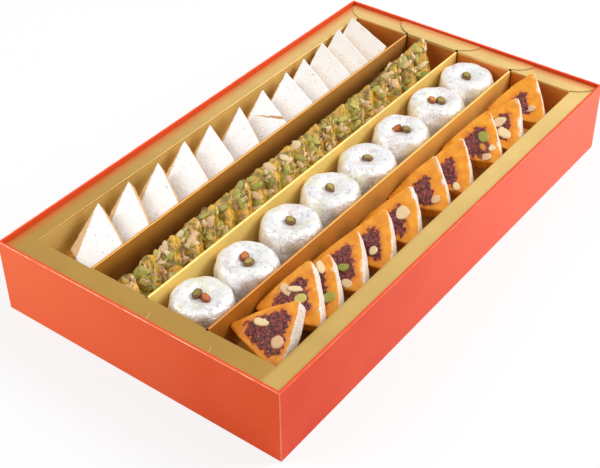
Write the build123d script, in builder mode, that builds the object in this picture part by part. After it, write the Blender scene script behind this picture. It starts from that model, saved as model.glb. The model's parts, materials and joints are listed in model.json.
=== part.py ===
"""Open mithai sweet box: a paper-wrapped board tray with a folded gold card insert.

The insert hangs a raised floor between two side ledges, three folded dividers stand on it,
and flared end flaps close each of its four compartments. Each compartment holds one kind
of sweet. X runs across the box, Y along it and Z up, from the middle of the underside.
"""
from build123d import *
import os
from math import atan2, cos, degrees, pi, radians, sin, sqrt, tan

os.makedirs("parts", exist_ok=True)

# Board tray and the paper wrapped round it
box_length = 355.0
box_width = 203.0
box_height = 50.0
board_thickness = 1.2
paper_thickness = 0.25
paper_turn_in = 12.0

# Folded card insert
card_thickness = 0.45
fold_radius = 0.4
insert_clearance = 0.3
flange_drop = 2.5
side_flange_width = 13.45
end_flange_width = 14.55
insert_depth = 27.0

# End flaps: one folded wall and tab for each compartment
flap_gap = 0.2
ear_margin = 0.75
ear_tip_radius = 1.6
ear_curve_shares = (0.61, 0.3)
ear_end_share = 0.78
flap_levels = (1, 3, 2, 1)

# Dividers, folded over at the top
divider_thickness = 1.6
divider_rise = 0.5
divider_end_gap = 0.9
divider_place_shares = (-0.253, -0.0116, 0.2362)

# Gaps between a sweet and what it rests on or leans on, and the step in which a row that
# would be too long for its compartment stands up steeper
seat_gap = 0.2
wall_gap = 0.35
lean_step = 0.5

# Silver-leaf diamonds, first compartment. Slack shares say how a row's spare length is
# spread before each piece. A diamond's acute tip stands up at the left, at a share of the
# compartment's width, and its other side comes up to the divider.
diamond_thickness = 9.2
diamond_height = 48.0
diamond_side_slant = 2.5
diamond_lean = 60.0
diamond_upper_turns = (26.7, 31.9, 31.2, 28.4, 26.8, 31.7, 26.5, 23.6, 25.9, 24.5, 24.3, 18.5)
diamond_height_shares = (
    1.006, 0.998, 1.006, 0.992, 0.969, 0.973, 0.946, 0.956, 0.908, 0.975, 1.02, 1.023,
)
diamond_tip_shares = (
    0.185, 0.18, 0.219, 0.156, 0.171, 0.221, 0.188, 0.178, 0.121, 0.092, 0.068, 0.035,
)
diamond_slack_shares = (
    0, 0.134, 0.085, 0.155, 0.103, 0.138, 0.138, 0.12, 0.103, 0.022, 0.001, 0.001,
)

# Nut slabs, second compartment: a few steep and smaller ones, then a leaning row, where
# rise shares say how far each has been pushed up its lean
nut_slab_thickness = 8.6
nut_slab_clearance = 0.55
nut_slab_corner_cut = 1.4
nut_slab_turn = 7.0
nut_slab_lean = 52.0
steep_slab_lean_shares = (0.2, 0.58, 0.885)
steep_slab_size_shares = (0.72, 0.8, 0.9)
nut_slab_slack_shares = (
    0, 0.1, 0.02, 0.12, 0.03, 0.1, 0.02, 0.12, 0.05, 0.08, 0.02, 0.1, 0.03, 0.08, 0.05, 0.05,
    0.03,
)
nut_slab_rise_shares = (
    0, 0.02, 0, 0.03, 0.01, 0, 0.025, 0, 0.02, 0, 0.03, 0.01, 0, 0.03, 0.09, 0.18, 0.25,
)

# Round pedas, third compartment, each with a pistachio sliver in its thumb dimple
peda_height = 26.5
peda_clearance = 1.3
peda_sides = 36
peda_dimple_depth = 2.8
peda_dimple_radius = 5.2
peda_dimple_rim_share = 0.5
peda_slack_shares = (0.104, 0, 0.36, 0.1, 0, 0.082, 0.341, 0.013)
peda_offset_shares = (-0.3, 0.3, -1.0, -0.9, -0.2, -1.0, -1.0, -0.8)
peda_radius_shares = (0.84, 0.95, 1.0, 0.985, 0.93, 0.81, 0.64)
peda_level_shares = (0, 0.14, 0.38, 0.64, 0.85, 0.97, 1.0)
sliver_length = 9.4
sliver_width = 4.6
sliver_height = 2.0
sliver_angles = (35.0, -50.0, 20.0, 80.0, -15.0, 50.0, -70.0, 10.0)

# Orange wedges, fourth compartment, each sliced from a log with a jam core and swollen
# sides. Place shares say how much of the spare width lies at a wedge's left.
wedge_thickness = 11.8
wedge_clearance = 1.38
wedge_bulge_share = 0.035
wedge_corner_radius = 2.2
wedge_lean = 60.0
wedge_turns = (-14.0, 10.7, 10.3, 7.4, 6.3, 5.5, 12.0, 6.1, 9.2, -1.6, 7.3)
wedge_slack_shares = (0.119, 0, 0, 0.113, 0.183, 0.155, 0.344, 0.045, 0.014, 0.014, 0.013)
wedge_rise_shares = (0.154, 0.292, 0.03, 0.05, 0, 0.01, 0, 0.06, 0.263, 0.289, 0.417)
wedge_place_shares = (0.025, 0.114, 0.472, 0, 0.273, 0.162, 0, 0.094, 0.586, 0.967, 1.0)
core_side_share = 0.56
core_drop_shares = (0, 0, 0.01, 0.01, 0.04, 0.06, 0.08, 0.08, 0.07, 0.01, 0.09)
core_corner_cut = 3.0

# Levels and sizes that follow from the driving ones
wall_thickness = board_thickness + 2 * paper_thickness
inner_width = box_width - 2 * wall_thickness
inner_length = box_length - 2 * wall_thickness
tray_floor = paper_thickness + board_thickness
flange_top = box_height - flange_drop
floor_top = flange_top - insert_depth
seat_level = floor_top + seat_gap
cavity_width = inner_width - 2 * side_flange_width
cavity_length = inner_length - 2 * end_flange_width
near_wall = -cavity_length / 2
far_wall = cavity_length / 2
flap_tops = [flange_top + level * card_thickness for level in flap_levels]
ear_reach = side_flange_width - insert_clearance - ear_margin
tab_depth = end_flange_width - insert_clearance

# Compartments, as the X of each one's left and right faces, from left to right
divider_places = [cavity_width * share for share in divider_place_shares]
compartment_lefts = [-cavity_width / 2] + [x + divider_thickness / 2 for x in divider_places]
compartment_rights = [x - divider_thickness / 2 for x in divider_places] + [cavity_width / 2]
compartments = list(zip(compartment_lefts, compartment_rights))


def middle(compartment):
    return sum(compartment) / 2


def width(compartment):
    return compartment[1] - compartment[0]


def finish(part, name):
    """Label a piece and write it."""
    part.label = name
    export_step(part, f"parts/{name}.step")


# Paper wrap: outside and underside in one sheet, turned over the rim and down inside
with BuildPart() as base_wrap:
    with BuildSketch():
        Rectangle(box_width, box_length)
    extrude(amount=box_height)
    with BuildSketch(Plane.XY.offset(paper_thickness)):
        Rectangle(box_width - 2 * paper_thickness, box_length - 2 * paper_thickness)
    extrude(amount=box_height - paper_turn_in - paper_thickness, mode=Mode.SUBTRACT)
    with BuildSketch(Plane.XY.offset(box_height - paper_turn_in)):
        Rectangle(box_width - 2 * paper_thickness, box_length - 2 * paper_thickness)
        Rectangle(
            inner_width + 2 * paper_thickness,
            inner_length + 2 * paper_thickness,
            mode=Mode.SUBTRACT,
        )
    extrude(amount=paper_turn_in - paper_thickness, mode=Mode.SUBTRACT)
    with BuildSketch(Plane.XY.offset(box_height - paper_turn_in)):
        Rectangle(inner_width, inner_length)
    extrude(amount=paper_turn_in, mode=Mode.SUBTRACT)
finish(base_wrap.part, "base_wrap")

# Greyboard tray inside the paper
with BuildPart() as board_shell:
    with BuildSketch(Plane.XY.offset(paper_thickness)):
        Rectangle(box_width - 2 * paper_thickness, box_length - 2 * paper_thickness)
    extrude(amount=box_height - 2 * paper_thickness)
    with BuildSketch(Plane.XY.offset(tray_floor)):
        Rectangle(inner_width + 2 * paper_thickness, inner_length + 2 * paper_thickness)
    extrude(amount=box_height, mode=Mode.SUBTRACT)
finish(board_shell.part, "board_shell")

# Insert: skirts, side ledges, compartment walls and raised floor folded from one card
skirt_face = inner_width / 2 - insert_clearance
with BuildPart() as insert_tray:
    with BuildSketch(Plane.XZ) as folded_section:
        with BuildLine():
            Polyline(
                (0, floor_top),
                (cavity_width / 2, floor_top),
                (cavity_width / 2, flange_top),
                (skirt_face, flange_top),
                (skirt_face, tray_floor),
                (skirt_face - card_thickness, tray_floor),
                (skirt_face - card_thickness, flange_top - card_thickness),
                (cavity_width / 2 + card_thickness, flange_top - card_thickness),
                (cavity_width / 2 + card_thickness, floor_top - card_thickness),
                (0, floor_top - card_thickness),
                close=True,
            )
        make_face()
        outer_folds = folded_section.vertices().group_by(Axis.Y)[-1]
        fillet(outer_folds, radius=fold_radius)
        mirror(about=Plane.YZ)
    extrude(amount=inner_length / 2 - insert_clearance, both=True)
finish(insert_tray.part, "insert_tray")


def end_flap(compartment, level, end):
    """One compartment's end wall, with its tab folded out over the ledge at a level.

    The tab's two ears flare past the compartment, in a curve that ends in a small round.
    """
    left, right = compartment
    wall_centre = end * (far_wall + card_thickness / 2)
    tab_bottom = flange_top + (level - 1) * card_thickness
    ear_start = far_wall + card_thickness + flap_gap
    ear_length = tab_depth + far_wall - ear_start
    across_share, along_share = ear_curve_shares
    ear_end = ear_start + ear_end_share * ear_length
    outer_edge = far_wall + tab_depth
    with BuildPart() as flap:
        with BuildSketch(Plane.XY.offset(floor_top)):
            with Locations((middle(compartment), wall_centre)):
                Rectangle(right - left - 2 * flap_gap, card_thickness)
        extrude(amount=tab_bottom - floor_top)
        with BuildSketch(Plane.XY.offset(tab_bottom)):
            for side, edge in ((-1, left + flap_gap), (1, right - flap_gap)):
                with BuildLine():
                    fold = (middle(compartment), end * far_wall)
                    corner = (edge, end * far_wall)
                    start = (edge, end * ear_start)
                    curve_middle = (
                        edge + side * across_share * ear_reach,
                        end * (ear_start + along_share * ear_length),
                    )
                    widest = (edge + side * ear_reach, end * ear_end)
                    tip = (edge + side * (ear_reach - ear_tip_radius), end * outer_edge)
                    back = (middle(compartment), end * outer_edge)
                    Polyline(fold, corner, start)
                    curve = ThreePointArc(start, curve_middle, widest)
                    TangentArc(widest, tip, tangent=curve % 1)
                    Polyline(tip, back, fold)
                make_face()
        extrude(amount=card_thickness)
    return flap.part


for end, name in ((-1, "near_end_flaps"), (1, "far_end_flaps")):
    flaps = [end_flap(room, level, end) for room, level in zip(compartments, flap_levels)]
    finish(Compound(children=flaps), name)

# Dividers: one card each, folded over at the top, with both leaves down to the floor
divider_top = flange_top + divider_rise
outer_half = divider_thickness / 2
inner_half = outer_half - card_thickness
fold_centre = divider_top - outer_half
for place, name in zip(divider_places, ("divider_left", "divider_middle", "divider_right")):
    with BuildPart() as divider:
        with BuildSketch(Plane.XZ):
            with BuildLine():
                Polyline(
                    (place - inner_half, fold_centre),
                    (place - inner_half, seat_level),
                    (place - outer_half, seat_level),
                    (place - outer_half, fold_centre),
                )
                ThreePointArc(
                    (place - outer_half, fold_centre),
                    (place, divider_top),
                    (place + outer_half, fold_centre),
                )
                Polyline(
                    (place + outer_half, fold_centre),
                    (place + outer_half, seat_level),
                    (place + inner_half, seat_level),
                    (place + inner_half, fold_centre),
                )
                ThreePointArc(
                    (place + inner_half, fold_centre),
                    (place, divider_top - card_thickness),
                    (place - inner_half, fold_centre),
                )
            make_face()
        extrude(amount=far_wall - divider_end_gap, both=True)
    finish(divider.part, name)


def leaning_plane(x, y, z, lean):
    """A plane facing the near end and up, leaning back by an angle from upright."""
    tilt = radians(lean)
    return Plane(origin=(x, y, z), x_dir=(1, 0, 0), z_dir=(0, -cos(tilt), sin(tilt)))


def face_place(y, z, lean):
    """Where a leaning face through a point stands along its row, square to the face."""
    return y * cos(radians(lean)) - z * sin(radians(lean))


def foot_edge(place, thickness, lean, rise=0):
    """Y and Z of a face's lower edge, its back edge on the floor or pushed up the lean."""
    tilt = radians(lean)
    floor_z = seat_level + thickness * sin(tilt)
    floor_y = (place + floor_z * sin(tilt)) / cos(tilt)
    return floor_y + rise * sin(tilt), floor_z + rise * cos(tilt)


def first_place(thickness, lean):
    """The face place of a slab whose foot stands at the near end wall."""
    return face_place(near_wall + wall_gap, foot_edge(0, thickness, lean)[1], lean)


def last_place(thickness, lean, flap_top):
    """The face place of a slab whose back just clears the edge of its far end flap."""
    return face_place(far_wall, flap_top, lean) - wall_gap - thickness


def spare_length(first, last, size, count):
    """What a row's pieces leave over, from the first place to the last."""
    return last - first - (size + wall_gap) * (count - 1)


def spread(first, last, size, slack_shares):
    """Places from first to last, with the spare length shared out."""
    spare = spare_length(first, last, size, len(slack_shares))
    places = []
    place = first - size - wall_gap
    for share in slack_shares:
        place += size + wall_gap + spare * share / sum(slack_shares)
        places.append(place)
    return places


def row_lean(lean, thickness, flap_top, count):
    """A row's usual lean, or the first steeper one at which the whole row fits."""
    while lean > 0 and spare_length(
        first_place(thickness, lean), last_place(thickness, lean, flap_top), thickness, count
    ) < 0:
        lean -= lean_step
    return lean


def place_behind(place, thickness, lean, height, next_lean):
    """The nearest face place for a slab of another lean behind one on the floor."""
    foot_y, foot_z = foot_edge(place, thickness, lean)
    tilt = radians(lean)
    corners = [
        (
            foot_y + up * sin(tilt) + back * cos(tilt),
            foot_z + up * cos(tilt) - back * sin(tilt),
        )
        for up in (0, height)
        for back in (0, thickness)
    ]
    return max(face_place(y, z, next_lean) for y, z in corners) + wall_gap


# Diamonds: each has one acute corner up at the left and leans back on the next
diamond_room = compartments[0]
diamond_row_lean = row_lean(
    diamond_lean, diamond_thickness, flap_tops[0], len(diamond_slack_shares)
)
diamond_places = spread(
    first_place(diamond_thickness, diamond_row_lean),
    last_place(diamond_thickness, diamond_row_lean, flap_tops[0]),
    diamond_thickness,
    diamond_slack_shares,
)
for number, place in enumerate(diamond_places):
    tip_x = diamond_room[0] + diamond_tip_shares[number] * width(diamond_room)
    tip_height = diamond_height_shares[number] * diamond_height
    foot_y, foot_z = foot_edge(place, diamond_thickness, diamond_row_lean)
    diamond_width = diamond_room[1] - wall_gap - tip_x
    upper_across = diamond_width - diamond_side_slant
    upper_down = upper_across * tan(radians(diamond_upper_turns[number]))
    with BuildPart() as diamond:
        with BuildSketch(leaning_plane(tip_x, foot_y, foot_z, diamond_row_lean)):
            with BuildLine():
                Polyline(
                    (0, tip_height),
                    (upper_across, tip_height - upper_down),
                    (diamond_width, 0),
                    (diamond_side_slant, upper_down),
                    close=True,
                )
            make_face()
        extrude(amount=-diamond_thickness)
    finish(diamond.part, f"silver_diamond_{number + 1:02d}")


def triangle_corners(side, turn):
    """The three corners of an equal-sided triangle about its centre, turned in its plane."""
    reach = side / sqrt(3)
    angles = [radians(turn + corner * 360 / 3 + 90) for corner in range(3)]
    return [(reach * cos(angle), reach * sin(angle)) for angle in angles]


def triangle_height(side, turn):
    """How tall a turned triangle stands in its own plane."""
    heights = [y for x, y in triangle_corners(side, turn)]
    return max(heights) - min(heights)


def outline_plane(low_corner, thickness, place, lean, rise=0):
    """The plane of a slab's face, from where its outline's lowest left corner is to stand."""
    left, low_x, low_y = low_corner
    foot_y, foot_z = foot_edge(place, thickness, lean, rise)
    tilt = radians(lean)
    return leaning_plane(
        left - low_x, foot_y - low_y * sin(tilt), foot_z - low_y * cos(tilt), lean
    )


def triangle_outline(side, turn, corner_cut):
    """An equal-sided triangle with its corners cut off."""
    with BuildSketch() as outline:
        with BuildLine():
            Polyline(*triangle_corners(side, turn), close=True)
        make_face()
        chamfer(outline.vertices(), length=corner_cut)
    return outline.sketch


# Nut slabs: the steep ones' size, lean and place, and where the leaning row starts
nut_room = compartments[1]
nut_slab_side = width(nut_room) - 2 * nut_slab_clearance
nut_slab_height = triangle_height(nut_slab_side, nut_slab_turn)


def steep_slabs(lean):
    """Side, lean, place and rise of the steep slabs before a row that leans by an angle."""
    leans = [share * lean for share in steep_slab_lean_shares] + [lean]
    place = first_place(nut_slab_thickness, leans[0])
    slabs = []
    for share, steep, next_lean in zip(steep_slab_size_shares, leans, leans[1:]):
        slabs.append((share * nut_slab_side, steep, place, 0))
        height = share * nut_slab_height
        place = place_behind(place, nut_slab_thickness, steep, height, next_lean)
    return slabs, place


nut_count = len(nut_slab_slack_shares)
nut_row_lean = nut_slab_lean
nut_slabs, nut_start = steep_slabs(nut_row_lean)
nut_end = last_place(nut_slab_thickness, nut_row_lean, flap_tops[1])
while nut_row_lean > 0 and spare_length(nut_start, nut_end, nut_slab_thickness, nut_count) < 0:
    nut_row_lean -= lean_step
    nut_slabs, nut_start = steep_slabs(nut_row_lean)
    nut_end = last_place(nut_slab_thickness, nut_row_lean, flap_tops[1])
leaning_places = spread(nut_start, nut_end, nut_slab_thickness, nut_slab_slack_shares)
for place, rise_share in zip(leaning_places, nut_slab_rise_shares):
    nut_slabs.append((nut_slab_side, nut_row_lean, place, rise_share * nut_slab_height))

for number, (side, lean, place, rise) in enumerate(nut_slabs):
    outline = triangle_outline(side, nut_slab_turn, nut_slab_corner_cut)
    low_x = outline.bounding_box().min.X
    low_y = outline.bounding_box().min.Y
    left = middle(nut_room) - outline.bounding_box().size.X / 2
    face = outline_plane((left, low_x, low_y), nut_slab_thickness, place, lean, rise)
    with BuildPart() as nut_slab:
        with BuildSketch(face):
            add(outline)
        extrude(amount=-nut_slab_thickness)
    finish(nut_slab.part, f"nut_slab_{number + 1:02d}")


def layer_height(wide, narrow):
    """How high a layer is between two rings, each (radius, level)."""
    return abs(narrow[1] - wide[1])


def layer_taper(wide, narrow):
    """The slant in degrees of the flat sides between two rings."""
    narrowing = (wide[0] - narrow[0]) * cos(pi / peda_sides)
    return degrees(atan2(narrowing, layer_height(wide, narrow)))


# Pedas: round, widest above the foot, with a raised ring round the thumb dimple. They are as
# large as the compartment's width and length leave them. The foot and the dimple narrow
# downwards, so both are made upside down and turned over.
peda_room = compartments[2]
peda_count = len(peda_slack_shares)
peda_radius = min(
    width(peda_room) / 2 - peda_clearance,
    (cavity_length - (peda_count + 1) * wall_gap) / (2 * peda_count),
)
peda_rings = [
    (radius_share * peda_radius, level_share * peda_height)
    for radius_share, level_share in zip(peda_radius_shares, peda_level_shares)
]
widest = peda_rings.index(max(peda_rings))
foot_rings = peda_rings[widest::-1]
top_rings = peda_rings[widest:]
dimple_rim = (peda_dimple_rim_share * peda_radius, peda_height)
dimple_foot = (peda_dimple_radius, peda_height - peda_dimple_depth)
peda_places = spread(
    near_wall + wall_gap + peda_radius,
    far_wall - wall_gap - peda_radius,
    2 * peda_radius,
    peda_slack_shares,
)
with BuildPart() as peda_foot:
    for wide, narrow in zip(foot_rings, foot_rings[1:]):
        with BuildSketch(Plane.XY.offset(layer_height(foot_rings[0], wide))):
            RegularPolygon(wide[0], peda_sides)
        extrude(amount=layer_height(wide, narrow), taper=layer_taper(wide, narrow))
with BuildPart() as dimple:
    with BuildSketch():
        RegularPolygon(dimple_rim[0], peda_sides)
    extrude(amount=peda_dimple_depth, taper=layer_taper(dimple_rim, dimple_foot))
with BuildPart() as peda:
    add(peda_foot.part.moved(Location((0, 0, foot_rings[0][1]), (180, 0, 0))))
    for wide, narrow in zip(top_rings, top_rings[1:]):
        with BuildSketch(Plane.XY.offset(wide[1])):
            RegularPolygon(wide[0], peda_sides)
        extrude(amount=layer_height(wide, narrow), taper=layer_taper(wide, narrow))
    add(dimple.part.moved(Location((0, 0, peda_height), (180, 0, 0))), mode=Mode.SUBTRACT)
with BuildPart() as sliver:
    with BuildSketch(Plane.XY.offset(dimple_foot[1])):
        with BuildLine():
            ThreePointArc((-sliver_length / 2, 0), (0, -sliver_width / 2), (sliver_length / 2, 0))
            ThreePointArc((sliver_length / 2, 0), (0, sliver_width / 2), (-sliver_length / 2, 0))
        make_face()
    extrude(amount=sliver_height)
for number, peda_y in enumerate(peda_places):
    side_room = width(peda_room) / 2 - peda_radius - wall_gap
    peda_x = middle(peda_room) + peda_offset_shares[number] * side_room
    spot = Location((peda_x, peda_y, seat_level), (0, 0, sliver_angles[number]))
    pieces = Compound(children=[peda.part.moved(spot), sliver.part.moved(spot)])
    finish(pieces, f"peda_{number + 1:02d}")


def wedge_outline(side, turn):
    """A triangle with sides that swell outwards and rounded corners."""
    corners = triangle_corners(side, turn)
    swell = 1 + wedge_bulge_share * 2 * sqrt(3)
    with BuildSketch() as outline:
        with BuildLine():
            for (x, y), (next_x, next_y) in zip(corners, corners[1:] + corners[:1]):
                halfway = ((x + next_x) / 2 * swell, (y + next_y) / 2 * swell)
                ThreePointArc((x, y), halfway, (next_x, next_y))
        make_face()
        fillet(outline.vertices(), radius=wedge_corner_radius)
    return outline.sketch


# Wedges: the jam core runs through each slice
wedge_room = compartments[3]
wedge_side = width(wedge_room) - 2 * wedge_clearance
core_side = wedge_side * core_side_share
wedge_row_lean = row_lean(wedge_lean, wedge_thickness, flap_tops[3], len(wedge_slack_shares))
wedge_places = spread(
    first_place(wedge_thickness, wedge_row_lean),
    last_place(wedge_thickness, wedge_row_lean, flap_tops[3]),
    wedge_thickness,
    wedge_slack_shares,
)
for number, place in enumerate(wedge_places):
    outline = wedge_outline(wedge_side, wedge_turns[number])
    low_x = outline.bounding_box().min.X
    low_y = outline.bounding_box().min.Y
    spare_width = width(wedge_room) - outline.bounding_box().size.X - 2 * wall_gap
    left = wedge_room[0] + wall_gap + wedge_place_shares[number] * spare_width
    rise = wedge_rise_shares[number] * outline.bounding_box().size.Y
    face = outline_plane((left, low_x, low_y), wedge_thickness, place, wedge_row_lean, rise)
    core_outline = triangle_outline(core_side, wedge_turns[number], core_corner_cut)
    core_drop = core_drop_shares[number] * wedge_side
    with BuildPart() as core:
        with BuildSketch(face):
            with Locations((0, -core_drop)):
                add(core_outline)
        extrude(amount=-wedge_thickness)
    with BuildPart() as wedge:
        with BuildSketch(face):
            add(outline)
        extrude(amount=-wedge_thickness)
        add(core.part, mode=Mode.SUBTRACT)
    pieces = Compound(children=[wedge.part, core.part])
    finish(pieces, f"orange_wedge_{number + 1:02d}")
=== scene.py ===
"""Looks for the open sweet box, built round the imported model. Lengths are in metres."""

import json
import math
import random

import bmesh
import bpy
from mathutils import Matrix, Quaternion, Vector, noise

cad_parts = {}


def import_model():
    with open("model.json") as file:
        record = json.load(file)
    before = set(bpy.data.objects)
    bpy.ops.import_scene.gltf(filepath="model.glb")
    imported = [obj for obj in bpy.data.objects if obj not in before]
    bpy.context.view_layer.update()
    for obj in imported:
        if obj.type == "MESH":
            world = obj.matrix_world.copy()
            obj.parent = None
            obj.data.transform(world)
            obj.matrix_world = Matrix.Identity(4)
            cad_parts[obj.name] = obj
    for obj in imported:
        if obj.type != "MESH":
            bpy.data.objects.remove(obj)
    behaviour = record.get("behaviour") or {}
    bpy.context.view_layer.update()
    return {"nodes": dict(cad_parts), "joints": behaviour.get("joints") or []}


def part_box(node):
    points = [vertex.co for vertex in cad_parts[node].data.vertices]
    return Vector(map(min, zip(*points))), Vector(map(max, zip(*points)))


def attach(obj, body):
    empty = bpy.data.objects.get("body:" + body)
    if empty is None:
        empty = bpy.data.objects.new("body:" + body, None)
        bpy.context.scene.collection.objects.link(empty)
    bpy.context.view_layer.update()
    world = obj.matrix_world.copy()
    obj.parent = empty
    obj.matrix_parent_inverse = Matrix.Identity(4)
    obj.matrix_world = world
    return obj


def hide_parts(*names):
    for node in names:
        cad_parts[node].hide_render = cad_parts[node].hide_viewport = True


MM = 0.001
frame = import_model()
nodes = frame["nodes"]
joint_axes = {j["child"]: Vector(j["axis"]) for j in frame["joints"]}
box_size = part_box("base_wrap")[1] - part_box("base_wrap")[0]
ledge_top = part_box("insert_tray")[1].z
scene = bpy.context.scene
scene.view_settings.view_transform = "Standard"
AXES = (Vector((1, 0, 0)), Vector((0, 1, 0)), Vector((0, 0, 1)))


# Node graphs
class Graph:
    """A material's node tree, where each value given to a node is a socket or a constant."""

    def __init__(self, name):
        self.material = bpy.data.materials.new(name)
        self.material.use_nodes = True
        self.tree = self.material.node_tree
        self.shader = self.tree.nodes["Principled BSDF"]

    def put(self, socket, value):
        if isinstance(value, bpy.types.NodeSocket):
            self.tree.links.new(value, socket)
        else:
            socket.default_value = value

    def fill(self, node, values):
        for key, value in values.items():
            if isinstance(key, int):
                socket = node.inputs[key]
            else:
                socket = next(s for s in node.inputs if s.name == key and s.enabled)
            self.put(socket, value)

    def add(self, kind, values=None, out=0, **settings):
        node = self.tree.nodes.new("ShaderNode" + kind)
        for key, value in settings.items():
            setattr(node, key, value)
        self.fill(node, values or {})
        return node.outputs[out]

    def place(self):
        return self.add("TexCoord", out="Object")

    def attribute(self, name):
        return self.add("Attribute", attribute_name=name, out="Vector")

    def split(self, vector):
        node = self.tree.nodes.new("ShaderNodeSeparateXYZ")
        self.tree.links.new(vector, node.inputs[0])
        return node.outputs

    def math(self, operation, *values):
        return self.add("Math", dict(enumerate(values)), operation=operation)

    def both(self, a, b):
        return self.math("MULTIPLY", a, b)

    def either(self, a, b):
        return self.math("MAXIMUM", a, b)

    def noise(self, vector, scale, detail=3.0, roughness=0.5, distortion=0.0):
        values = {
            "Vector": vector, "Scale": scale, "Detail": detail,
            "Roughness": roughness, "Distortion": distortion,
        }
        return self.add("TexNoise", values)

    def creases(self, vector, scale, width):
        """1 along the thin borders of irregular cells, 0 elsewhere."""
        wander = self.add("TexNoise", {"Vector": vector, "Scale": scale * 0.8}, out=1)
        bent = self.add(
            "Mix", {0: 0.25 / scale, 4: vector, 5: wander}, out=1, data_type="VECTOR",
        )
        border = self.add(
            "TexVoronoi", {"Vector": bent, "Scale": scale}, feature="DISTANCE_TO_EDGE"
        )
        return self.ramp(border, width, 0.0)

    def ramp(self, value, low, high):
        """0 at low and 1 at high, smooth between and level beyond."""
        return self.add(
            "MapRange", {0: value, 1: low, 2: high, 3: 0.0, 4: 1.0},
            interpolation_type="SMOOTHSTEP",
        )

    def mix(self, factor, a, b):
        node = self.tree.nodes.new("ShaderNodeMix")
        node.data_type = "RGBA"
        for index, value in ((0, factor), (6, a), (7, b)):
            self.put(node.inputs[index], value)
        return node.outputs[2]

    def bump(self, height, distance, strength=1.0, normal=None):
        values = {"Height": height, "Distance": distance, "Strength": strength}
        if normal is not None:
            values["Normal"] = normal
        return self.add("Bump", values)

    def surface(self, **values):
        self.fill(self.shader, {key.replace("_", " "): v for key, v in values.items()})
        return self.material


def rgb(red, green, blue):
    """A colour as it is seen, 0 to 255, for a shader's linear socket."""
    def linear(c):
        c /= 255
        return c / 12.92 if c <= 0.04045 else ((c + 0.055) / 1.055) ** 2.4
    return (linear(red), linear(green), linear(blue), 1.0)


# Paper, board and card
def red_paper():
    """Coated paper in painted light, edges paled by wear and a painted highlight, painted shade
    inside.
    """
    g = Graph("red_paper")
    place = g.place()
    x, y, z = g.split(place)
    from_side = g.math("SUBTRACT", box_size.x / 2, g.math("ABSOLUTE", x))
    from_end = g.math("SUBTRACT", box_size.y / 2, g.math("ABSOLUTE", y))
    from_outside = g.math("MINIMUM", from_side, from_end)
    from_top = g.math("SUBTRACT", box_size.z, z)
    cloudy = g.noise(place, 22.0, 4.0)
    fibre = g.noise(place, 900.0, 2.0)
    # Painted light: one paper in lit and shaded tones on its end, side and top faces.
    to_right = g.ramp(x, -box_size.x / 2, box_size.x / 2)
    to_far_end = g.ramp(y, -box_size.y / 2, box_size.y / 2)
    end_face_painted_light = g.mix(to_right, rgb(255, 113, 66), rgb(224, 78, 31))
    side_face_painted_light = g.mix(to_far_end, rgb(212, 70, 44), rgb(242, 114, 90))
    colour = g.mix(g.ramp(from_side, 0.4 * MM, 0.1 * MM), end_face_painted_light, side_face_painted_light)
    top_face = g.ramp(from_top, 0.3 * MM, 0.1 * MM)
    colour = g.mix(g.both(top_face, 0.8), colour, rgb(236, 78, 44))
    colour = g.mix(g.both(g.ramp(cloudy, 0.35, 0.7), 0.12), colour, rgb(250, 128, 90))
    # Pale rim and corners: part wear, part a painted highlight along the rim.
    ragged = g.both(g.noise(place, 260.0, 4.0, 0.7), 1.1 * MM)
    on_rim = g.math("ADD", g.either(from_outside, from_top), ragged)
    on_corner = g.math("ADD", g.either(from_side, from_end), ragged)
    right_side = g.ramp(x, box_size.x * 0.49, box_size.x * 0.495)
    weaker = g.math("SUBTRACT", 0.95, g.both(right_side, 0.65))
    patchy = g.math("ADD", 0.55, g.both(g.ramp(g.noise(place, 60.0, 2.0), 0.4, 0.55), 0.45))
    worn = g.both(g.ramp(on_rim, 1.1 * MM, 0.6 * MM), g.both(weaker, patchy))
    worn = g.either(worn, g.both(g.ramp(on_corner, 1.2 * MM, 0.7 * MM), 0.3))
    colour = g.mix(worn, colour, rgb(252, 206, 172))
    # Painted shade deepens the inner walls' red; low down, a painted reflection of the gold
    # ledge.
    inside = g.ramp(from_outside, 1.3 * MM, 1.6 * MM)
    low_gold_reflection = g.ramp(z, ledge_top + 2.5 * MM, ledge_top + 0.2 * MM)
    colour = g.mix(g.both(inside, 0.75), colour, rgb(206, 44, 16))
    colour = g.mix(g.both(g.both(inside, low_gold_reflection), 0.5), colour, rgb(222, 104, 40))
    height = g.math("ADD", fibre, g.both(cloudy, 2.0))
    return g.surface(
        Base_Color=colour, Roughness=0.55, Specular_IOR_Level=0.12,
        Normal=g.bump(height, 0.05 * MM, 0.4),
    )


def board():
    g = Graph("greyboard")
    place = g.place()
    fibre = g.noise(place, 700.0, 3.0)
    colour = g.mix(fibre, rgb(150, 140, 125), rgb(176, 166, 150))
    return g.surface(Base_Color=colour, Roughness=0.9, Normal=g.bump(fibre, 0.1 * MM, 0.4))


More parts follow.
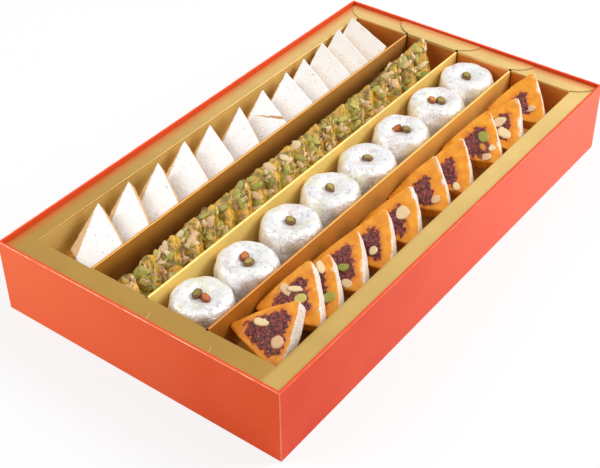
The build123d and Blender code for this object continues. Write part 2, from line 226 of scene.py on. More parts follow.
def gold_card(name, near, far, metallic=0.45, floor_shade=0.0):
    """Gold-faced card, paler along the box in painted light, with a painted red reflection beside
    it.

    Its last argument sets how far painted shade darkens it towards the insert's floor.
    """
    g = Graph(name)
    place = g.place()
    x, y, z = g.split(place)
    # Painted light: the card pales from the near end to the far end.
    colour = g.mix(g.ramp(y, -box_size.y * 0.55, box_size.y * 0.5), near, far)
    # Painted highlight along the right-hand side.
    right_highlight = g.ramp(x, box_size.x * 0.42, box_size.x * 0.44)
    colour = g.mix(g.both(right_highlight, 0.3), colour, rgb(255, 226, 140))
    # Painted light on the left wall below the ledge, which lies in shade from the key lamp.
    below = g.ramp(z, ledge_top - 0.4 * MM, ledge_top - 1.2 * MM)
    lit_left_wall = g.both(below, g.ramp(x, -box_size.x * 0.418, -box_size.x * 0.425))
    colour = g.mix(g.both(lit_left_wall, 0.8), colour, rgb(255, 220, 130))
    # Painted shade, warm orange, on the far walls below the ledge.
    shaded_far_wall = g.both(below, g.ramp(y, box_size.y * 0.45, box_size.y * 0.4535))
    colour = g.mix(g.both(shaded_far_wall, 0.85), colour, rgb(226, 124, 30))
    # Painted reflection of the red paper on the card near the left side and the far end.
    from_left = g.math("ADD", x, box_size.x / 2)
    from_far = g.math("SUBTRACT", box_size.y / 2, y)
    glow = g.ramp(g.math("MINIMUM", from_left, from_far), 10.5 * MM, 2.5 * MM)
    colour = g.mix(g.both(glow, 0.65), colour, rgb(230, 108, 50))
    broad = g.noise(place, 34.0, 3.0, 0.55)
    shade = g.both(g.ramp(broad, 0.35, 0.7), 0.1)
    colour = g.mix(shade, colour, rgb(128, 84, 26))
    # Painted shade that deepens down towards the insert's floor.
    down = g.ramp(z, ledge_top - 1.0 * MM, ledge_top - 14.0 * MM)
    colour = g.mix(g.both(down, floor_shade), colour, rgb(112, 62, 12))
    fine = g.noise(place, 1400.0, 2.0)
    rough = g.add("MapRange", {0: broad, 1: 0.3, 2: 0.7, 3: 0.46, 4: 0.36})
    normal = g.bump(g.noise(place, 14.0, 2.0), 0.6 * MM, 0.4)
    normal = g.bump(fine, 0.03 * MM, 0.5, normal)
    return g.surface(Base_Color=colour, Roughness=rough, Metallic=metallic, Normal=normal)


def card_edge(name, dark, light):
    """The core that shows where card is cut, pale near by and dark with painted shade at the far
    end.
    """
    g = Graph(name)
    fibre = g.noise(g.place(), 800.0, 2.0)
    return g.surface(Base_Color=g.mix(fibre, dark, light), Roughness=0.7)


# Sweets
def silver_leaf():
    """White leaf on the face, bare fudge in a band at its left and on the slab's sides."""
    g = Graph("silver_leaf")
    place = g.attribute("local")
    left, crack, depth = g.split(g.attribute("edge"))
    wander = g.both(g.math("SUBTRACT", g.noise(place, 420.0, 4.0, 0.65), 0.5), 2.2 * MM)
    band = g.ramp(g.math("ADD", left, wander), 0.4 * MM, -0.4 * MM)
    side = g.ramp(g.math("ADD", depth, g.both(wander, 0.4)), 0.8 * MM, 1.3 * MM)
    bare = g.either(g.either(band, side), g.ramp(crack, -0.2 * MM, 0.2 * MM))
    specks = g.noise(place, 1300.0, 3.0, 0.75)
    leaf = g.mix(g.ramp(specks, 0.28, 0.46), rgb(222, 214, 204), rgb(255, 255, 255))
    dark = g.both(g.ramp(g.noise(place, 560.0, 2.0), 0.67, 0.74), 0.7)
    leaf = g.mix(dark, leaf, rgb(118, 96, 88))
    worn = g.ramp(g.noise(place, 120.0, 5.0, 0.65), 0.56, 0.72)
    leaf = g.mix(g.both(worn, 0.2), leaf, rgb(232, 214, 186))
    far_end = g.ramp(g.split(g.place())[1], 30 * MM, 160 * MM)
    leaf = g.mix(g.both(far_end, 0.55), leaf, rgb(232, 218, 200))
    fudge = g.mix(g.noise(place, 500.0, 3.0), rgb(214, 164, 104), rgb(238, 200, 148))
    colour = g.mix(bare, leaf, fudge)
    height = g.math("ADD", specks, g.both(g.noise(place, 300.0, 3.0), 1.5))
    metal = g.both(g.math("SUBTRACT", 1.0, bare), 0.15)
    return g.surface(
        Base_Color=colour, Roughness=0.5, Metallic=metal, Normal=g.bump(height, 0.22 * MM, 0.6),
    )


def nut_matrix():
    """Set syrup between the nuts, golden and green, a little see-through."""
    g = Graph("nut_matrix")
    place = g.attribute("local")
    broad = g.noise(place, 170.0, 3.0, 0.6)
    fine = g.noise(place, 1100.0, 3.0)
    colour = g.mix(g.ramp(broad, 0.38, 0.62), rgb(124, 104, 34), rgb(224, 172, 60))
    colour = g.mix(g.both(g.ramp(fine, 0.5, 0.75), 0.5), colour, rgb(228, 200, 118))
    return g.surface(
        Base_Color=colour, Roughness=0.34, Normal=g.bump(broad, 0.9 * MM, 0.8),
        Subsurface_Weight=0.25, Subsurface_Radius=(3 * MM, 2 * MM, 0.8 * MM),
    )


def nut(name, flesh, ripe, skin, skin_from=0.86):
    """A cut nut: flesh of two tints, with skin from a share of the way to its rim."""
    g = Graph(name)
    place = g.attribute("local")
    rim, tint, _ = g.split(g.attribute("shell"))
    broad = g.noise(place, 330.0, 3.0, 0.6)
    fine = g.noise(place, 1600.0, 2.0)
    colour = g.mix(tint, flesh, ripe)
    edge = g.math("ADD", rim, g.both(g.math("SUBTRACT", broad, 0.5), 0.5))
    colour = g.mix(g.both(g.ramp(edge, skin_from, skin_from + 0.12), 0.8), colour, skin)
    return g.surface(
        Base_Color=colour, Roughness=0.4, Normal=g.bump(fine, 0.1 * MM, 0.5),
        Subsurface_Weight=0.1, Subsurface_Radius=(2 * MM, 1.2 * MM, 0.6 * MM),
    )


def peda_leaf():
    """Thin crumpled silver leaf with a faint blush, dark specks and saffron threads."""
    g = Graph("peda_leaf")
    place = g.attribute("local")
    crumple = g.noise(place, 240.0, 6.0, 0.6, 1.0)
    fold = g.creases(place, 150.0, 0.03)
    tint = g.noise(place, 70.0, 2.0)
    # Painted highlights on the crumples and painted shade in the folds.
    colour = g.mix(g.ramp(crumple, 0.3, 0.5), rgb(214, 212, 216), rgb(255, 254, 252))
    colour = g.mix(g.both(fold, 0.1), colour, rgb(150, 140, 144))
    colour = g.mix(g.both(g.ramp(tint, 0.54, 0.7), 0.3), colour, rgb(240, 208, 204))
    colour = g.mix(g.both(g.ramp(tint, 0.44, 0.3), 0.4), colour, rgb(236, 228, 168))
    speck = g.both(g.ramp(g.noise(place, 620.0, 2.0), 0.68, 0.73), 0.75)
    colour = g.mix(speck, colour, rgb(120, 92, 78))
    thread = g.both(g.creases(place, 85.0, 0.014), g.ramp(tint, 0.6, 0.66))
    colour = g.mix(g.both(thread, 0.7), colour, rgb(214, 84, 40))
    height = g.math("ADD", crumple, g.both(fold, 0.2))
    return g.surface(
        Base_Color=colour, Roughness=0.32, Metallic=0.4, Normal=g.bump(height, 0.9 * MM, 0.7),
    )


def orange_fudge():
    """Orange fudge round glossy dark jam, with silver leaf on its right-hand side."""
    g = Graph("orange_fudge")
    place = g.attribute("local")
    right, core, depth = g.split(g.attribute("edge"))
    grain = g.noise(place, 900.0, 4.0, 0.6)
    broad = g.noise(place, 150.0, 3.0)
    fudge = g.mix(g.ramp(broad, 0.3, 0.7), rgb(230, 138, 12), rgb(246, 166, 34))
    fudge = g.mix(g.both(g.ramp(grain, 0.55, 0.75), 0.4), fudge, rgb(252, 196, 90))
    soaked = g.math("ADD", core, g.both(g.math("SUBTRACT", broad, 0.5), 4.0 * MM))
    soaked = g.both(g.ramp(soaked, -2.6 * MM, 0.0), 0.55)
    fudge = g.mix(soaked, fudge, rgb(206, 78, 20))

    # Leaf on the side
    wander = g.both(g.math("SUBTRACT", g.noise(place, 110.0, 1.0), 0.5), 2.0 * MM)
    band = g.ramp(g.math("ADD", right, wander), 3.0 * MM, 2.0 * MM)
    band = g.both(band, g.ramp(g.math("ADD", depth, wander), 0.1 * MM, 0.6 * MM))
    crumbs = g.noise(place, 1300.0, 3.0, 0.7)
    leaf = g.mix(g.ramp(crumbs, 0.35, 0.55), rgb(206, 188, 174), rgb(255, 250, 244))

    # Jam
    pulp = g.noise(place, 430.0, 4.0, 0.6)
    ragged = g.both(g.math("SUBTRACT", pulp, 0.5), 3.6 * MM)
    filled = g.ramp(g.math("ADD", core, ragged), -0.3 * MM, 0.5 * MM)
    filled = g.both(filled, g.ramp(depth, 3.0 * MM, 2.5 * MM))
    bits = g.noise(place, 560.0, 3.0, 0.6)
    filling = g.mix(g.ramp(bits, 0.38, 0.7), rgb(70, 16, 20), rgb(168, 66, 56))
    # Pale flecks in the jam are painted highlights.
    jam_highlight = g.ramp(g.noise(place, 1100.0, 3.0, 0.6), 0.6, 0.68)
    filling = g.mix(g.both(jam_highlight, 0.6), filling, rgb(226, 160, 134))

    colour = g.mix(band, g.mix(filled, fudge, filling), leaf)
    rough = g.math("SUBTRACT", 0.5, g.both(filled, 0.34))
    height = g.math("ADD", grain, g.both(broad, 1.5))
    height = g.math("ADD", height, g.both(g.both(bits, filled), 5.0))
    return g.surface(
        Base_Color=colour, Roughness=rough, Normal=g.bump(height, 0.3 * MM, 0.7),
        Subsurface_Weight=0.12, Subsurface_Radius=(3 * MM, 1.5 * MM, 0.6 * MM),
    )


MATERIALS = {
    "paper": red_paper(),
    "board": board(),
    # Painted light: near and far tones per gold, and the dividers as lit and shaded copies of one
    # gold.
    "gold": gold_card("gold_card", rgb(192, 150, 70), rgb(244, 206, 130)),
    "gold_left": gold_card("gold_left", rgb(214, 150, 62), rgb(216, 160, 84), floor_shade=0.75),
    "gold_middle": gold_card("gold_middle", rgb(255, 222, 128), rgb(250, 210, 120), 0.25),
    "gold_right": gold_card("gold_right", rgb(190, 118, 34), rgb(255, 204, 106), 0.3, 0.3),
    "pale_edge": card_edge("pale_edge", rgb(246, 226, 180), rgb(255, 242, 208)),
    # The far flaps' cut edges, dark with painted shade.
    "shaded_edge": card_edge("shaded_edge", rgb(84, 58, 30), rgb(120, 88, 48)),
    "leaf": silver_leaf(),
    "matrix": nut_matrix(),
    "pistachio": nut("pistachio", rgb(204, 192, 96), rgb(150, 152, 60), rgb(118, 84, 52)),
    "garnish": nut("garnish", rgb(176, 160, 66), rgb(134, 124, 46), rgb(104, 48, 26), 0.6),
    "almond": nut("almond", rgb(240, 218, 170), rgb(226, 184, 140), rgb(176, 112, 58)),
    "peda": peda_leaf(),
    "fudge": orange_fudge(),
    "apricot": nut("apricot", rgb(214, 140, 56), rgb(190, 104, 40), rgb(116, 50, 26), 0.62),
}


# Meshes
def set_vectors(mesh, name, values):
    data = mesh.attributes.new(name, "FLOAT_VECTOR", "POINT").data
    data.foreach_set("vector", [c for value in values for c in value])


def piece(name, mesh, materials, body):
    """An object that stands for a sweet's node and rides with it."""
    obj = bpy.data.objects.new(name, mesh)
    scene.collection.objects.link(obj)
    for key in materials:
        mesh.materials.append(MATERIALS[key])
    for polygon in mesh.polygons:
        polygon.use_smooth = True
    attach(obj, body)
    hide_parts(body)


def remeshed(source, voxel, softness=2):
    """A solid's surface as an even mesh with softened corners."""
    obj = bpy.data.objects.new("scratch", source.data.copy())
    scene.collection.objects.link(obj)
    modifier = obj.modifiers.new("even", "REMESH")
    modifier.mode = "VOXEL"
    modifier.voxel_size = voxel
    smooth = obj.modifiers.new("soft", "SMOOTH")
    smooth.factor = 0.5
    smooth.iterations = softness
    depsgraph = bpy.context.evaluated_depsgraph_get()
    made = bpy.data.meshes.new_from_object(obj.evaluated_get(depsgraph))
    bpy.data.objects.remove(obj)
    made.materials.clear()
    return made


def frame_of(node_name):
    """The directions across, up the lean and out of a leaning piece's face."""
    up = joint_axes[node_name]
    across = AXES[0]
    return across, up, across.cross(up)


def face_points(node_name):
    """Points of a leaning piece's face, as (across, up), and the place of the face."""
    across, up, out = frame_of(node_name)
    corners = [v.co for v in nodes[node_name].data.vertices]
    face_at = max(c.dot(out) for c in corners)
    front = [(c.dot(across), c.dot(up)) for c in corners if face_at - c.dot(out) < 0.01 * MM]
    return front, face_at


def convex(points):
    """Corners of the hull round points, counter-clockwise."""
    points = sorted(set((round(x, 6), round(y, 6)) for x, y in points))

    def half(row):
        chain = []
        for p in row:
            while len(chain) > 1 and cross(chain[-2], chain[-1], p) <= 1e-12:
                chain.pop()
            chain.append(p)
        return chain[:-1]
    return half(points) + half(points[::-1])


def cross(a, b, p):
    """Twice the area of a triangle, above zero where p lies left of the line from a to b."""
    return (b[0] - a[0]) * (p[1] - a[1]) - (b[1] - a[1]) * (p[0] - a[0])


def depth_within(point, corners):
    """How far a point lies inside an outline's nearest side, below zero outside."""
    sides = zip(corners, corners[1:] + corners[:1])
    return min(cross(a, b, point) / math.dist(a, b) for a, b in sides)


def middle(corners):
    """The middle of an outline's extents."""
    return tuple((min(row) + max(row)) / 2 for row in zip(*corners))


def line_distance(point, start, end):
    return abs(cross(start, end, point)) / math.dist(start, end)


# Scales of the two noises, per millimetre
COARSE_SCALE = 0.13
FINE_SCALE = 0.7


def rumple(mesh, seed, coarse, fine):
    """Push a mesh's points in and out by two sizes of noise, given in millimetres."""
    shift = Vector((seed * 7.3, seed * 3.1, seed * 5.7))
    moves = []
    for vertex in mesh.vertices:
        at = vertex.co / MM
        push = noise.noise(at * COARSE_SCALE + shift) * coarse
        push += noise.noise(at * FINE_SCALE + shift) * fine
        moves.append(vertex.normal * push * MM)
    for vertex, move in zip(mesh.vertices, moves):
        vertex.co += move


def localise(mesh, seed, axes):
    """Paint coordinates along a sweet's own axes, which differ from sweet to sweet."""
    shift = Vector((seed * 0.137, seed * 0.071, seed * 0.213))
    set_vectors(mesh, "local", [
        Vector([vertex.co.dot(axis) for axis in axes]) + shift for vertex in mesh.vertices
    ])


# Share of a nut's half height at which its two flat sides are cut
CUT_SHARE = 0.55


class Nuts:
    """Cut nuts added to a sweet's mesh, each vertex with its share of the way to the rim."""

    def __init__(self, mesh, seed):
        self.mesh = mesh
        self.rng = random.Random(seed)
        self.bm = bmesh.new()
        self.bm.from_mesh(mesh)
        self.layer = self.bm.verts.layers.float_vector.new("shell")

    def add(self, place, turn, size, material, detail=3):
        """Add a nut with its half sizes, cut flat on both sides."""
        rng = self.rng
        made = bmesh.ops.create_icosphere(self.bm, subdivisions=detail, radius=1.0)["verts"]
        shift = Vector((rng.random() * 50, rng.random() * 50, rng.random() * 50))
        tint = rng.random()
        taper = rng.uniform(-0.25, 0.25)
        for vertex in made:
            co = vertex.co * (1 + 0.12 * noise.noise(vertex.co * 1.6 + shift))
            rim = math.hypot(co.x, co.y)
            flat = max(-CUT_SHARE, min(CUT_SHARE, co.z))
            slim = 1 + taper * co.x
            co = Vector((co.x * size[0], co.y * size[1] * slim, flat / CUT_SHARE * size[2]))
            vertex.co = place + turn @ co
            vertex[self.layer] = Vector((rim, tint, 0))
        for face in {f for v in made for f in v.link_faces}:
            face.material_index = material

    def done(self):
        self.bm.to_mesh(self.mesh)
        self.bm.free()


def pointed(rng, long_way, out, tilt):
    """A turn whose first axis is near one direction and third near another."""
    turn = Matrix((long_way, out.cross(long_way), out)).transposed().to_quaternion()
    axis = Vector([rng.uniform(-1, 1) for _ in range(3)]).normalized()
    return (Quaternion(axis, rng.gauss(0, tilt)) @ turn).to_matrix()


def turned(rng, out, tilt=0.5):
    """A turn whose third axis is near a face's outward direction."""
    spin = Quaternion(out, rng.uniform(0, 2 * math.pi))
    axis = Vector([rng.uniform(-1, 1) for _ in range(3)]).normalized()
    return (Quaternion(axis, rng.gauss(0, tilt)) @ spin @ out.to_track_quat("Z", "Y")).to_matrix()


# Diamonds. Bare widths are the bands at their left sides' lower ends, from the near end on.
# The crack runs from one point to the other, across and up the lean from the diamond's tip.
BARE_WIDTHS = [w * MM for w in (6.5, 4.0, 4.5, 3.5, 3.0, 2.5, 2.5, 2.0, 1.6, 1.2, 1.0, 0.8)]
BROKEN_DIAMOND = 7
CRACK = (Vector((2.6, -20.5)) * MM, Vector((28.0, -12.6)) * MM)
CRACK_WIDTH = 2.6 * MM
CRACK_DEPTH = 1.6 * MM


def diamonds():
    for number, bare_width in enumerate(BARE_WIDTHS, 1):
        name = f"silver_diamond_{number:02d}"
        across, up, out = frame_of(name)
        points, face_at = face_points(name)
        tip, left, _, _ = sorted(convex(points))
        mesh = remeshed(nodes[name], voxel=0.6 * MM, softness=1)
        rumple(mesh, number, coarse=0.3, fine=0.14)
        edges = []
        for vertex in mesh.vertices:
            at = (vertex.co.dot(across), vertex.co.dot(up))
            down = max(0.0, (tip[1] - at[1]) / (tip[1] - left[1]))
            crack = -MM
            if number == BROKEN_DIAMOND:
                crack = crack_depth(at[0] - tip[0], at[1] - tip[1])
            depth = face_at - vertex.co.dot(out)
            edges.append((line_distance(at, tip, left) - bare_width * down, crack, depth))
            if crack > 0 and depth < 3 * MM:
                vertex.co -= out * min(CRACK_DEPTH, crack * 2.5)
        set_vectors(mesh, "edge", edges)
        localise(mesh, number, (across, up, out))
        piece("leaf_" + name, mesh, ["leaf"], name)


def crack_depth(across, up):
    """How far inside the broken diamond's crack a point lies, below zero outside."""
    start, end = CRACK
    along = (across - start.x) / (end.x - start.x)
    if along < 0:
        return -MM
    wobble = noise.noise(Vector((across * 300, 0, 3))) * 0.8 * MM
    centre = start.y + (end.y - start.y) * along + wobble
    return CRACK_WIDTH / 2 * min(1.4, along) - abs(up - centre)


# Nut slabs, with one nut in three on the face and the others round the edge
NUTS_PER_SLAB = 66
NUT_MARGIN = 2.4 * MM
NUT_HALF_DEPTH = 1.3 * MM
OTHER_NUTS = ("almond", "almond", "almond", "garnish")


def nut_slabs():
    materials = ["matrix", "pistachio", "almond", "garnish"]
    for number in range(1, 21):
        name = f"nut_slab_{number:02d}"
        seed = number + 20
        across, up, out = frame_of(name)
        points, face_at = face_points(name)
        front = convex(points)
        centre = middle(front)
        mesh = remeshed(nodes[name], voxel=0.9 * MM)
        rumple(mesh, seed, coarse=0.7, fine=0.5)
        back_at = min(v.co.dot(out) for v in mesh.vertices)
        nuts = Nuts(mesh, number)
        rng = nuts.rng
        green_share = rng.uniform(0.35, 0.7)
        lows = [min(row) for row in zip(*front)]
        highs = [max(row) for row in zip(*front)]
        placed = 0
        while placed < NUTS_PER_SLAB:
            at = (rng.uniform(lows[0], highs[0]), rng.uniform(lows[1], highs[1]))
            if depth_within(at, front) < NUT_MARGIN:
                continue
            placed += 1
            kind = "pistachio" if rng.random() < green_share else rng.choice(OTHER_NUTS)
            size = [rng.uniform(3.6, 5.6) * MM, rng.uniform(1.9, 2.8) * MM, NUT_HALF_DEPTH]
            if placed % 3 == 0:
                spot = across * at[0] + up * at[1] + out * (face_at - 0.7 * MM)
                turn = turned(rng, out, 0.3)
            else:
                at = to_edge(at, centre, front)
                depth = rng.uniform(1.0 * MM, face_at - back_at - 1.2 * MM)
                outward = across * (at[0] - centre[0]) + up * (at[1] - centre[1])
                outward.normalize()
                spot = across * at[0] + up * at[1] + out * (face_at - depth)
                spot -= outward * (size[0] - 1.5 * MM)
                turn = pointed(rng, outward, out, 0.35)
            nuts.add(spot, turn, size, materials.index(kind), 2)
        nuts.done()
        localise(mesh, seed, (across, up, out))
        piece("nuts_" + name, mesh, materials, name)


def to_edge(point, centre, corners):
    """The point moved straight out from the centre until it lies just inside the edge."""
    scale = 1.0
    moved = point
    while scale < 6 and depth_within(moved, corners) > 0.5 * MM:
        scale += 0.03
        moved = tuple(c + (p - c) * scale for p, c in zip(point, centre))
    return moved


# Pedas, as shares of radius and height from the foot's middle over the ring to the dimple
PEDA_PROFILE = [
    (0.0, 0.0), (0.6, 0.0), (0.84, 0.0), (0.9, 0.05), (0.95, 0.13), (0.985, 0.25), (1.0, 0.38),
    (1.0, 0.5), (0.985, 0.64), (0.965, 0.74), (0.93, 0.84), (0.88, 0.915), (0.81, 0.965),
    (0.73, 0.99), (0.64, 1.0), (0.56, 0.998), (0.48, 0.985), (0.4, 0.96), (0.32, 0.925),
    (0.25, 0.903), (0.15, 0.896), (0.0, 0.894),
]
TWO_GARNISHES = (1, 2, 6, 7)


def pedas():
    materials = ["peda", "garnish", "apricot"]
    for number in range(1, 9):
        name = f"peda_{number:02d}"
        seed = number + 40
        low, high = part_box(name)
        centre = Vector(((low.x + high.x) / 2, (low.y + high.y) / 2, low.z))
        radius = (high.x - low.x) / 2
        height = high.z - low.z
        mesh = turned_solid(name, centre, radius, height)
        rumple(mesh, seed, coarse=0.9, fine=0.2)
        for vertex in mesh.vertices:
            vertex.co.z = min(max(vertex.co.z, low.z), high.z)
            away = (vertex.co - centre).to_2d()
            if away.length > radius:
                away = away.normalized() * radius
                vertex.co.x = centre.x + away.x
                vertex.co.y = centre.y + away.y
        nuts = Nuts(mesh, seed + 20)
        rng = nuts.rng
        dimple = low.z + PEDA_PROFILE[-1][1] * height
        first = rng.uniform(0, 2 * math.pi)
        count = 2 if number in TWO_GARNISHES else 1
        reach = 3.0 * MM if count > 1 else 0.4 * MM
        for index in range(count):
            angle = first + index * math.pi
            spot = Vector((
                centre.x + math.cos(angle) * reach, centre.y + math.sin(angle) * reach,
                dimple + 0.7 * MM,
            ))
            size = (rng.uniform(3.6, 4.2) * MM, rng.uniform(2.5, 3.0) * MM, 1.7 * MM)
            nuts.add(spot, turned(rng, AXES[2], 0.3), size, 1 + index)
        nuts.done()
        localise(mesh, seed, AXES)
        piece("leaf_" + name, mesh, materials, name)


def turned_solid(name, centre, radius, height):
    """The closed, even mesh of the peda profile turned about its upright axis."""
    profile = []
    for (r0, z0), (r1, z1) in zip(PEDA_PROFILE, PEDA_PROFILE[1:]):
        length = math.hypot((r1 - r0) * radius, (z1 - z0) * height)
        steps = max(1, int(length / (0.9 * MM)))
        for k in range(steps):
            profile.append((r0 + (r1 - r0) * k / steps, z0 + (z1 - z0) * k / steps))
    count = 120
    directions = []
    for k in range(count):
        angle = 2 * math.pi * k / count
        directions.append((math.cos(angle), math.sin(angle)))
    bm = bmesh.new()
    rings = []
    for r, z in profile[1:]:
        offsets = [Vector((c * r * radius, s * r * radius, z * height)) for c, s in directions]
        rings.append([bm.verts.new(centre + offset) for offset in offsets])
    foot = bm.verts.new(centre)
    top = bm.verts.new(centre + Vector((0, 0, PEDA_PROFILE[-1][1] * height)))
    for k in range(count):
        n = (k + 1) % count
        bm.faces.new((foot, rings[0][n], rings[0][k]))
        bm.faces.new((top, rings[-1][k], rings[-1][n]))
        for a, b in zip(rings, rings[1:]):
            bm.faces.new((a[k], a[n], b[n], b[k]))
    mesh = bpy.data.meshes.new(name)
    bm.normal_update()
    bm.to_mesh(mesh)
    bm.free()
    return mesh


# Wedges. Jam spreads are how far past the modelled core the jam shows, from the near end on.
JAM_SPREADS = [s * MM for s in (3.0, 1.0, 0.9, 1.2, 0.6, 0.4, 0.4, 0.2, 1.8, 0.2, -0.4)]
JAM_LUMPS = 2.4 * MM

# A wedge's points farther inside its outline than this belong to its core
CORE_MARGIN = 3.0 * MM

# Each wedge's nuts: the shares of the way from its left corner to its apex and to its right
# corner, the nut's half length and half width in millimetres, and its kind.
WEDGE_NUTS = [
    [(0.35, 0.14, 4.9, 2.9, "almond"), (0.27, 0.57, 4.2, 3.9, "almond")],
    [
        (0.40, 0.13, 4.9, 2.6, "almond"), (0.46, 0.23, 5.6, 2.0, "almond"),
        (0.32, 0.42, 3.9, 3.2, "pistachio"),
    ],
    [(0.74, 0.08, 4.8, 2.3, "almond"), (0.26, 0.60, 4.5, 3.3, "pistachio")],
    [(0.27, 0.42, 3.9, 2.9, "pistachio"), (0.02, 0.70, 3.9, 2.9, "almond")],
    [(0.19, 0.52, 3.2, 2.6, "almond")],
    [(0.45, 0.34, 5.0, 4.8, "almond")],
    [(0.14, 0.68, 3.5, 2.9, "almond")],
    [(0.02, 0.74, 3.4, 2.5, "almond")],
    [
        (0.42, 0.37, 4.6, 3.6, "pistachio"), (0.20, 0.54, 4.0, 2.3, "apricot"),
        (0.23, 0.67, 2.6, 2.3, "almond"), (0.02, 0.74, 3.7, 2.9, "almond"),
    ],
    [(0.39, 0.26, 5.1, 3.6, "almond"), (0.22, 0.52, 5.6, 4.1, "almond")],
    [(0.20, 0.60, 4.0, 2.6, "almond")],
]


def wedges():
    materials = ["fudge", "almond", "pistachio", "apricot"]
    for number, spread in enumerate(JAM_SPREADS, 1):
        name = f"orange_wedge_{number:02d}"
        seed = number + 60
        across, up, out = frame_of(name)
        points, face_at = face_points(name)
        hull = convex(points)
        core = convex([p for p in points if depth_within(p, hull) > CORE_MARGIN])
        apex = max(hull, key=lambda c: c[1])
        right = max(hull, key=lambda c: c[0])
        right_at = hull.index(right)
        side = hull[right_at:] + hull[:right_at]
        side = side[:side.index(apex) + 1]
        mesh = hull_prism(name, hull, face_at)
        edges = []
        for vertex in mesh.vertices:
            at = (vertex.co.dot(across), vertex.co.dot(up))
            from_side = min(segment_distance(at, a, b) for a, b in zip(side, side[1:]))
            lumps = noise.noise(Vector((at[0] / MM * 0.4, at[1] / MM * 0.4, number * 5)))
            within = depth_within(at, core) + spread + lumps * JAM_LUMPS
            depth = face_at - vertex.co.dot(out)
            edges.append((from_side, within, depth))
            if depth < 1.5 * MM and within > 0:
                vertex.co += out * noise.noise(vertex.co / MM * 0.5) * 0.6 * MM
        set_vectors(mesh, "edge", edges)
        rumple(mesh, seed, coarse=0.4, fine=0.12)
        nuts = Nuts(mesh, seed + 30)
        rng = nuts.rng
        left = min(hull)
        for to_apex, to_right, long, short, kind in WEDGE_NUTS[number - 1]:
            spot = [
                l + to_apex * (a - l) + to_right * (r - l) for l, a, r in zip(left, apex, right)
            ]
            at = across * spot[0] + up * spot[1] + out * (face_at - 0.6 * MM)
            size = (long * MM, short * MM, 1.2 * MM)
            nuts.add(at, turned(rng, out, 0.2), size, materials.index(kind))
        nuts.done()
        localise(mesh, seed, (across, up, out))
        piece("filled_" + name, mesh, materials, name)


def segment_distance(point, start, end):
    run = (end[0] - start[0], end[1] - start[1])
    reach = (point[0] - start[0]) * run[0] + (point[1] - start[1]) * run[1]
    share = min(1.0, max(0.0, reach / (run[0] ** 2 + run[1] ** 2)))
    return math.dist(point, (start[0] + run[0] * share, start[1] + run[1] * share))


def hull_prism(name, hull, face_at):
    """A closed even mesh of a wedge's whole outline, from its face back to its other side."""
    across, up, out = frame_of(name)
    back_at = min(v.co.dot(out) for v in nodes[name].data.vertices)
    bm = bmesh.new()
    rows = []
    for at in (face_at, back_at):
        rows.append([bm.verts.new(across * u + up * w + out * at) for u, w in hull])
    bm.faces.new(rows[0])
    bm.faces.new(rows[1][::-1])
    for k in range(len(hull)):
        n = (k + 1) % len(hull)
        bm.faces.new((rows[0][n], rows[0][k], rows[1][k], rows[1][n]))
    bmesh.ops.recalc_face_normals(bm, faces=bm.faces)
    mesh = bpy.data.meshes.new(name)
    bm.to_mesh(mesh)
    bm.free()
    obj = bpy.data.objects.new("scratch_hull", mesh)
    scene.collection.objects.link(obj)
    made = remeshed(obj, voxel=0.7 * MM)
    bpy.data.objects.remove(obj)
    return made


# The box's own nodes
BOX_LOOKS = {
    "base_wrap": "paper", "board_shell": "board", "insert_tray": "gold", "near_end_flaps": "gold",
    "far_end_flaps": "gold", "divider_left": "gold_left", "divider_middle": "gold_middle",
    "divider_right": "gold_right",
}


# Cut edges are faces lower than this, and no farther below the ledges' top
CUT_EDGE = 0.6 * MM


def dress(node_name, key):
    """Give a node its material, and cut edges to the flaps' tabs."""
    mesh = nodes[node_name].data
    mesh.materials.clear()
    mesh.materials.append(MATERIALS[key])
    if node_name.endswith("flaps"):
        # The far flaps' cut edges get painted shade.
        edge = "pale_edge" if node_name.startswith("near") else "shaded_edge"
        mesh.materials.append(MATERIALS[edge])
        for polygon in mesh.polygons:
            heights = [mesh.vertices[v].co.z for v in polygon.vertices]
            thin = max(heights) - min(heights) < CUT_EDGE
            if thin and abs(polygon.normal.z) < 0.3 and min(heights) > ledge_top - CUT_EDGE:
                polygon.material_index = 1


for node_name, key in BOX_LOOKS.items():
    dress(node_name, key)
diamonds()
nut_slabs()
pedas()
wedges()


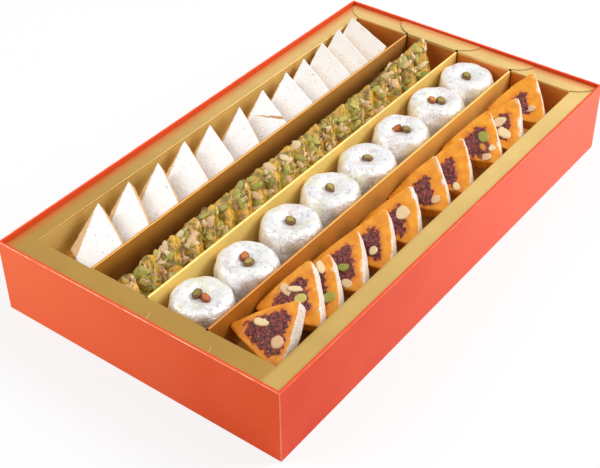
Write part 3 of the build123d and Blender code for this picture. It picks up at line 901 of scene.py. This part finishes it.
# Stage
def floor():
    """A pale floor that takes light as a matt surface and is seen as a nearly even white."""
    g = Graph("floor")
    tree = g.tree
    path = tree.nodes.new("ShaderNodeLightPath")
    glow = tree.nodes.new("ShaderNodeEmission")
    mixer = tree.nodes.new("ShaderNodeMixShader")
    g.surface(Base_Color=(0.85, 0.85, 0.85, 1), Roughness=0.9)
    seen = g.either(path.outputs["Is Camera Ray"], path.outputs["Is Glossy Ray"])
    seen = g.either(seen, path.outputs["Is Transmission Ray"])
    tree.links.new(g.both(seen, 0.8), mixer.inputs[0])
    tree.links.new(g.shader.outputs[0], mixer.inputs[1])
    tree.links.new(glow.outputs[0], mixer.inputs[2])
    tree.links.new(mixer.outputs[0], tree.nodes["Material Output"].inputs[0])
    mesh = bpy.data.meshes.new("floor")
    half = 3.0
    drop = -0.4 * MM
    corners = [(-half, -half, drop), (half, -half, drop), (half, half, drop), (-half, half, drop)]
    mesh.from_pydata(corners, [], [(0, 1, 2, 3)])
    mesh.materials.append(g.material)
    obj = bpy.data.objects.new("floor", mesh)
    scene.collection.objects.link(obj)


def world():
    """Soft white light from all round, seen brighter than it shines."""
    made = bpy.data.worlds.new("studio")
    scene.world = made
    made.use_nodes = True
    tree = made.node_tree
    background = tree.nodes["Background"]
    path = tree.nodes.new("ShaderNodeLightPath")
    background.inputs["Color"].default_value = (1, 1, 1, 1)
    strength = tree.nodes.new("ShaderNodeMapRange")
    strength.inputs["To Min"].default_value = 0.62
    strength.inputs["To Max"].default_value = 1.0
    tree.links.new(path.outputs["Is Camera Ray"], strength.inputs["Value"])
    tree.links.new(strength.outputs[0], background.inputs["Strength"])


def lamp(name, place, size, power):
    """A square lamp of a given side that faces the middle of the box's foot."""
    data = bpy.data.lights.new(name, "AREA")
    data.shape = "SQUARE"
    data.size = size
    data.energy = power
    obj = bpy.data.objects.new(name, data)
    scene.collection.objects.link(obj)
    obj.location = place
    obj.rotation_mode = "QUATERNION"
    obj.rotation_quaternion = (-Vector(place)).to_track_quat("-Z", "Y")


floor()
world()
lamp("key", (1.0, 0.95, 1.2), size=0.8, power=24)
lamp("fill", (-0.9, -0.9, 1.0), size=0.7, power=7)

camera = bpy.data.objects.new("camera", bpy.data.cameras.new("camera"))
scene.collection.objects.link(camera)
camera.data.sensor_width = 36
camera.data.lens = 74.783
camera.location = (0.370928, -0.514037, 0.49669)
camera.rotation_euler = [math.radians(a) for a in (51.3012, 0.5144, 36.8032)]
scene.camera = camera
